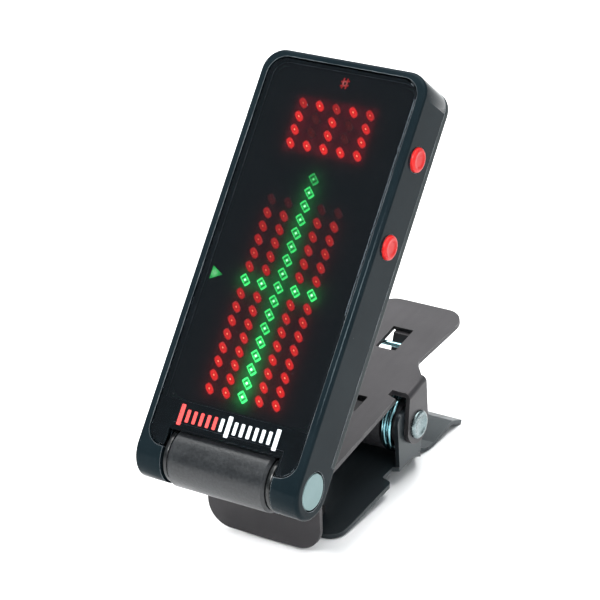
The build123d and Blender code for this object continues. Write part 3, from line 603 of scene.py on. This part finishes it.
def sign_look(name, colour, strength, centre, fall):
    """A lit sign, brightest at its middle."""
    look = Look(name, Base_Color=(0.02, 0.02, 0.02, 1), Roughness=0.4)
    apart = look.node("ShaderNodeVectorMath", look.coords, tuple(centre), operation="DISTANCE")
    near = look.span(apart.outputs["Value"], 1.0, 0.25, 0.0, fall)
    pale = look.span(apart.outputs["Value"], 0.35, 0.0, 0.0, fall * 0.5)
    grain = look.span(look.noise(6000, 2), 0.65, 1.2)
    look.drive("Emission Color", look.mix(pale, colour, (0.9, 1.0, 0.9)))
    look.drive("Emission Strength", look.maths("MULTIPLY", look.maths("MULTIPLY", near, grain), strength))
    return look.material


pointer_v = FIRST_ROW + IN_TUNE * ROW_PITCH
mesh = bmesh.new()
prism(mesh, [(x, pointer_v + dv) for x, dv in POINTER], BOARD_FRONT, LENS_TOP)
pointer_glow = sign_look("sign_green", GREEN, 3.4, face(POINTER_MIDDLE, pointer_v, LENS_TOP), 0.0012)
finish_mesh("pointer_light", mesh, "head", [pointer_glow], ["pointer_led"])

mesh = bmesh.new()
for offset in (-SHARP_STEM_X, SHARP_STEM_X):
    stem = [(SHARP[0] + offset + a, SHARP[1] + b) for a, b in SHARP_STEM]
    prism(mesh, stem, BOARD_FRONT, LENS_TOP)
for offset in (-SHARP_BAR_V, SHARP_BAR_V):
    bar = [(SHARP[0] + a, SHARP[1] + offset + b) for a, b in SHARP_BAR]
    prism(mesh, bar, BOARD_FRONT, LENS_TOP - SHARP_BAR_DROP)
sharp_glow = sign_look("sign_red", RED, 2.4, face(*SHARP, LENS_TOP), 0.001)
finish_mesh("sharp_light", mesh, "head", [sharp_glow], ["sharp_led"])


NOTE_FIELD_COLOUR = (0.13, 0.002, 0.012)
STRAY = ((greens, 0.34, 1.5, 0.055), (reds, 0.22, 1.15, 0.03), (notes, 0.22, 1.2, 0.02))
STRAY_LIMIT = 6.0               # no light reaches further than this over the mask
NEAR_SPREAD = 0.62
HAZE_SPREAD = 4.2


def glow_at(x, v):
    """Stray light on the mask: the note's pane, and a near glow and a wider haze from every light."""
    inside = min(NOTE_FIELD[0] - abs(x), v - NOTE_FIELD[1], NOTE_FIELD[2] - v)
    field = max(0.0, min(1.0, inside / NOTE_FIELD_EDGE))
    total = [c * field for c in NOTE_FIELD_COLOUR]
    for places, gain, reach, haze in STRAY:
        for lx, lv, colour, level in places:
            d2 = (x - lx) ** 2 + (v - lv) ** 2
            if d2 > STRAY_LIMIT ** 2:
                continue
            near = gain * math.exp(-d2 / (NEAR_SPREAD * reach * reach))
            light = (near + haze * math.exp(-d2 / HAZE_SPREAD)) * level
            for c in range(3):
                total[c] += light * colour[c]
    return total


MASK_FOOT, MASK_HEAD = 6.6, 51.2
MASK_CORNER = 2.2
MASK_STEP = 0.3
MASK_FRONT = 2.35
MASK_DEPTH = 0.33


def mask_piece():
    """The black mask in front of the board, carrying the light that strays over it."""
    low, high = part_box("light_mask")
    half = (high.x - low.x) / 2 / MM
    columns = round(2 * half / MASK_STEP)
    rows = round((MASK_HEAD - MASK_FOOT) / MASK_STEP)
    mesh = bmesh.new()
    glow = mesh.verts.layers.float_color.new("glow")
    sheet = []
    for j in range(rows + 1):
        v = MASK_FOOT + (MASK_HEAD - MASK_FOOT) * j / rows
        inset = 0.0
        edge = min(v - MASK_FOOT, MASK_HEAD - v)
        if edge < MASK_CORNER:
            inset = MASK_CORNER - math.sqrt(MASK_CORNER ** 2 - (MASK_CORNER - edge) ** 2)
        line = []
        for i in range(columns + 1):
            x = (half - inset) * (2 * i / columns - 1)
            vert = mesh.verts.new(face(x, v, MASK_FRONT))
            vert[glow] = (*glow_at(x, v), 1.0)
            line.append(vert)
        sheet.append(line)
    for j in range(rows):
        for i in range(columns):
            mesh.faces.new((sheet[j][i], sheet[j][i + 1], sheet[j + 1][i + 1], sheet[j + 1][i]))
    rim = sheet[0][:] + [r[-1] for r in sheet[1:]] + sheet[-1][-2::-1] + [r[0] for r in sheet[-2:0:-1]]
    foot = []
    for vert in rim:
        low_vert = mesh.verts.new(vert.co - OUT * MASK_DEPTH * MM)
        low_vert[glow] = (0, 0, 0, 1)
        foot.append(low_vert)
    for k, vert in enumerate(rim):
        j = (k + 1) % len(rim)
        mesh.faces.new((rim[j], vert, foot[k], foot[j]))
    look = Look("mask_film", IOR=1.45, Specular_IOR_Level=0.2, Emission_Strength=1.0)
    stray = look.node("ShaderNodeAttribute", attribute_name="glow").outputs["Color"]
    tone = look.noise(1400, 3)
    look.drive("Base Color", look.ramp(tone, (0.3, (0.004, 0.004, 0.005)), (0.7, (0.009, 0.009, 0.010))))
    cloud = look.span(look.noise(1100, 3), 0.72, 1.3)
    tint = look.node("ShaderNodeVectorMath", stray, None, None, cloud, operation="SCALE")
    look.drive("Emission Color", tint.outputs[0])
    look.drive("Roughness", look.span(look.noise(3000, 2), 0.6, 0.8))
    return finish_mesh("mask_with_glow", mesh, "head", [look.material], ["light_mask"])


mask_piece()

# Generic tick scale under the display, in place of any name
SCALE_V = 4.55
PRINT_W = 3.752
PRINT_SINK = 0.004
PRINT_THICK = 0.012
LONG_TICK_EVERY = 7
LONG_TICK = (1.35, 0.3)         # half height and half width
SHORT_TICK = (0.82, 0.24)
TICK_ROUND = 0.1


def print_look(name, colour):
    """Screen-printed ink, slightly uneven."""
    look = Look(name, IOR=1.5, Specular_IOR_Level=0.5)
    tone = look.noise(2600, 4, 0.7)
    look.drive("Base Color", look.ramp(tone, (0.25, tuple(c * 0.8 for c in colour)), (0.6, colour)))
    look.drive("Roughness", look.span(tone, 0.25, 0.4))
    look.relief((tone, 0.15, 0.00001))
    return look.material


ink_red = print_look("ink_red", (0.62, 0.055, 0.05))
ink_white = print_look("ink_white", (0.66, 0.71, 0.74))
for name, ticks, ink in (("scale_print_red", range(-7, -1), ink_red),
                         ("scale_print_white", range(-1, 8), ink_white)):
    mesh = bmesh.new()
    for tick in ticks:
        tall, wide = SHORT_TICK if tick % LONG_TICK_EVERY else LONG_TICK
        outline = []
        for cx, cv in ((1, -1), (1, 1), (-1, 1), (-1, -1)):
            for turn in (-1, 0, 1):
                a = math.atan2(cv, cx) + math.radians(45) * turn
                outline.append((tick + cx * (wide - TICK_ROUND) + TICK_ROUND * math.cos(a),
                                SCALE_V + cv * (tall - TICK_ROUND) + TICK_ROUND * math.sin(a)))
        prism(mesh, outline, PRINT_W - PRINT_SINK, PRINT_W + PRINT_THICK)
    finish_mesh(name, mesh, "head", [ink])

# ---- Buttons ----------------------------------------------------------------------------------
FLANGE = (10.5, 10.95)          # inner and outer face, from the middle of the head
FLANGE_R = 1.95
BUTTON_R = 1.58
button_red = button_look()
for name in ("button_lower", "button_upper"):
    low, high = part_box(name)
    centre = (low + high) / 2
    centre.x = 0
    end = high.x / MM
    flange = [(FLANGE[0], 0.0), (FLANGE[0], FLANGE_R), (FLANGE[1], FLANGE_R), (FLANGE[1], BUTTON_R)]
    rim = [(end - 0.34, BUTTON_R), (end - 0.16, 1.53), (end - 0.04, 1.40), (end, 1.22)]
    dish = [(end - 0.02, 1.08), (end - 0.10, 0.96), (end - 0.13, 0.6), (end - 0.14, 0.0)]
    piece = finish_mesh(name + "_cap", lathe(flange + rim + dish, centre, ACROSS, UP), name,
                        [button_red.material], [name])
    shade(piece, 40)

# ---- Torsion spring ---------------------------------------------------------------------------
WIRE = 0.35
COIL = 4.0
INNER_X = 5.15
OUTER_X = 6.58
TURNS = 2
COIL_STEPS = 150
LEG_BEND_R = 1.2
BAR_BEND_R = 1.0
BAR = plate(0, 39.3, -7.34)     # middle of the cross bar, under the upper plate
BAR_HALF = 3.6
KNEE = (3.0, -5.0)              # a leg's bend, back and up from the pin
TOE = (2.2, 4.6, -6.2)          # a leg's end, inward of the coil, back and up from the pin
# The toes lie inward of INNER_X, so they stay with the upper half as the clip opens.
spring_steel = bare_metal("spring_zinc", (0.10, 0.26, 0.30), (0.36, 0.58, 0.60), (0.12, 0.24), scale=1500,
                          worn=(0.6, 0.8, 0.82))


def round_pin(x, angle):
    """A point on the coil round the clip pin."""
    return PIN + Vector((x, COIL * math.cos(angle), COIL * math.sin(angle))) * MM


bar_back = (BAR.y - PIN.y) / MM
bar_up = (BAR.z - PIN.z) / MM
arm_angle = math.atan2(bar_up, bar_back) - math.acos(COIL / math.hypot(bar_back, bar_up))
leg_angle = math.atan2(KNEE[1], KNEE[0]) + math.acos(COIL / math.hypot(*KNEE))
total = 2 * math.pi * TURNS + arm_angle - leg_angle
for side, hand in ((1, "right"), (-1, "left")):
    coil = []
    for k in range(COIL_STEPS + 1):
        t = k / COIL_STEPS
        x = OUTER_X + (INNER_X - OUTER_X) * t
        coil.append(round_pin(side * x, leg_angle + total * t))
    toe = PIN + Vector((side * (OUTER_X - TOE[0]), TOE[1], TOE[2])) * MM
    bend = PIN + Vector((side * OUTER_X, KNEE[0], KNEE[1])) * MM
    leg = rounded([toe, bend, coil[0]], LEG_BEND_R * MM)
    piece = finish_mesh("spring_coil_" + hand, tube(leg[:-1] + coil, WIRE * MM), None,
                        [spring_steel.material], ["torsion_spring"])
    shade(piece, 60)
    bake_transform(piece)
corners = []
for side in (-1, 1):
    start = round_pin(side * INNER_X, arm_angle)
    corner = PIN + Vector((side * BAR_HALF, bar_back, bar_up)) * MM
    corners += [start, corner] if side < 0 else [corner, start]
bar = tube(rounded(corners, BAR_BEND_R * MM), WIRE * MM)
piece = finish_mesh("spring_cross_bar", bar, "clip_upper",
                    [spring_steel.material], ["torsion_spring"])
shade(piece, 60)

# ---- Pads and edge rounds ---------------------------------------------------------------------
rubber_look().put("upper_pad", "lower_pad")
EDGE_ROUNDS = (
    (0.15, ("upper_pad", "lower_pad")),
    (0.12, ("head_shell", "back_cover")),
    (0.09, ("upper_plate", "lower_plate")),
    (0.08, ("spring_spool", "friction_washers", "clip_pin")),
    (0.06, ("battery_door", "cover_screws", "display_board")),
)
for width, nodes in EDGE_ROUNDS:
    for node in nodes:
        soften(NODES[node], width * MM)

# ---- Stage, light and camera ------------------------------------------------------------------
FLOOR_HALF = 3.0
FLOOR_CELLS = 8
FLOOR_GAP = 0.00002
floor_mesh = bmesh.new()
bmesh.ops.create_grid(floor_mesh, x_segments=FLOOR_CELLS, y_segments=FLOOR_CELLS, size=FLOOR_HALF)
floor_data = bpy.data.meshes.new("floor")
floor_mesh.to_mesh(floor_data)
floor_mesh.free()
floor = bpy.data.objects.new("floor", floor_data)
floor.location.z = -FLOOR_GAP
bpy.context.scene.collection.objects.link(floor)
paper = Look("floor_paper", IOR=1.45, Specular_IOR_Level=0.2)
paper_tone = paper.noise(30, 3)
paper.drive("Base Color", paper.ramp(paper_tone, (0.3, (0.91, 0.91, 0.91)), (0.7, (0.93, 0.93, 0.93))))
paper.drive("Roughness", paper.span(paper.noise(60, 2), 0.75, 0.9))
dress(floor, paper.material)


def softbox(name, place, target, size, power):
    """A soft area light aimed at a point."""
    data = bpy.data.lights.new(name, "AREA")
    data.shape = "RECTANGLE"
    data.size, data.size_y = size
    data.energy = power
    lamp = bpy.data.objects.new(name, data)
    lamp.location = place
    lamp.rotation_mode = "QUATERNION"
    lamp.rotation_quaternion = (Vector(target) - Vector(place)).to_track_quat("-Z", "Y")
    bpy.context.scene.collection.objects.link(lamp)


softbox("overhead", (-0.05, 0.10, 0.60), (0, 0, 0.02), (0.60, 0.60), 8.0)
softbox("left", (-0.60, 0.02, 0.30), (0, 0, 0.03), (0.25, 0.45), 1.0)
softbox("back", (-0.30, 0.55, 0.42), (0, 0.02, 0.02), (0.55, 0.30), 1.0)
softbox("front_top", (0.00, -0.36, 0.37), (0, -0.02, 0.015), (0.16, 0.07), 3.0)
softbox("right", (0.50, -0.16, 0.42), (0.01, 0, 0.03), (0.12, 0.30), 0.5)

MIRRORED = Vector((-0.496, -0.588, 0.639))      # the side that the display mirrors to the front view
DIM_EDGE = (0.45, 0.9)         # cosines from that side where the dimming starts and is full
SKY_STRENGTH = (0.60, 0.38)     # elsewhere, and on that side
SKY_COLOUR = (0.90, 0.96, 1.0, 1)


def studio_sky():
    """Even, slightly cool light from all round, dimmer on the side that the display mirrors."""
    world = bpy.data.worlds.new("studio")
    world.use_nodes = True
    bpy.context.scene.world = world
    tree = world.node_tree
    sky = tree.nodes["Background"]
    direction = tree.nodes.new("ShaderNodeTexCoord").outputs["Generated"]
    facing = tree.nodes.new("ShaderNodeVectorMath")
    facing.operation = "DOT_PRODUCT"
    facing.inputs[1].default_value = MIRRORED
    tree.links.new(direction, facing.inputs[0])
    dimming = tree.nodes.new("ShaderNodeMapRange")
    dimming.interpolation_type = "SMOOTHSTEP"
    for socket, value in zip(dimming.inputs[1:5], DIM_EDGE + SKY_STRENGTH):
        socket.default_value = value
    tree.links.new(facing.outputs["Value"], dimming.inputs[0])
    tree.links.new(dimming.outputs[0], sky.inputs["Strength"])
    sky.inputs["Color"].default_value = SKY_COLOUR


studio_sky()

CAMERA_AZIMUTH = 33.08
CAMERA_ELEVATION = 24.58
CAMERA_ROLL = -1.82
CAMERA_DISTANCE = 0.31645
CAMERA_AIM = Vector((0.00301, -0.01001, 0.03221))
CAMERA_LENS = 153.87
azimuth, elevation = math.radians(CAMERA_AZIMUTH), math.radians(CAMERA_ELEVATION)
toward = Vector((math.sin(azimuth) * math.cos(elevation), -math.cos(azimuth) * math.cos(elevation),
                 math.sin(elevation)))
camera_data = bpy.data.cameras.new("camera")
camera_data.lens = CAMERA_LENS
camera_data.sensor_width = 36
camera_data.clip_start, camera_data.clip_end = 0.01, 20
camera = bpy.data.objects.new("camera", camera_data)
camera.rotation_mode = "QUATERNION"
camera.rotation_quaternion = (-toward).to_track_quat("-Z", "Y") @ Matrix.Rotation(
    math.radians(CAMERA_ROLL), 3, "Z").to_quaternion()
camera.location = CAMERA_AIM + toward * CAMERA_DISTANCE
bpy.context.scene.collection.objects.link(camera)
bpy.context.scene.camera = camera
bpy.context.scene.view_settings.view_transform = "Standard"
